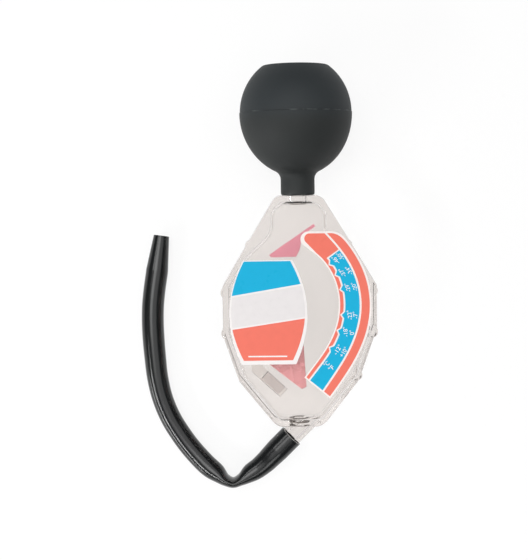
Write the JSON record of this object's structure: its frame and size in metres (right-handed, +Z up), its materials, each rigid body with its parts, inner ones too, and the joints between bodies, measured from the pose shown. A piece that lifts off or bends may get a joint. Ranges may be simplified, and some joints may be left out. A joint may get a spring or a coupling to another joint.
{
  "type": "antifreeze hydrometer",
  "caption": "Coolant tester: rubber squeeze bulb on a clear flat chamber with a swinging pointer over a curved dial, and a black pick-up hose from its lower end.",
  "frame": {"origin": "on the table under the middle of the box of the tester without its hose", "axes": "+Y along the body towards the bulb, +Z up off the table and out of the printed face, +X to the dial's side"},
  "size_m": [0.1071, 0.1905, 0.0494],
  "materials": {
    "bulb_rubber": "matte moulded rubber with a fine parting line",
    "clear_plastic": "clear injection-moulded plastic",
    "white_film": "printed film, white with blue and coral fields",
    "dial_film": "printed film, blue dial with coral bands",
    "pink_film": "pink printed film",
    "pin_steel": "drawn steel wire",
    "float_plastic": "translucent pink plastic",
    "arm_plastic": "clear plastic",
    "ballast_metal": "dull sheared steel",
    "hose_rubber": "smooth black rubber, slightly glossy"
  },
  "bodies": {
    "root": {"bulb_wall": "bulb_rubber", "front_shell": "clear_plastic", "rear_shell": "clear_plastic", "name_label": "white_film", "scale_label": "dial_film", "fluid_mark": "pink_film", "pivot_pin": "pin_steel", "hose_cuff": "hose_rubber", "hose_run": "hose_rubber", "hose_tip": "hose_rubber"},
    "float": {"float_vane": "float_plastic", "ballast_arm": "arm_plastic", "ballast_slug": "ballast_metal"},
    "crown": {"bulb_crown": "bulb_rubber"}
  },
  "joints": [
    {"name": "float_swing", "type": "hinge", "parent": "root", "child": "float", "pos_m": [-0.0173, -0.01973, 0.01613], "axis": [0, -0.0998, 0.995], "range_deg": [0, 100]},
    {"name": "bulb_press", "type": "slide", "parent": "root", "child": "crown", "axis": [0, -0.995, -0.0998], "range_m": [0, 0.015], "stiffness_N_per_m": 800}
  ]
}
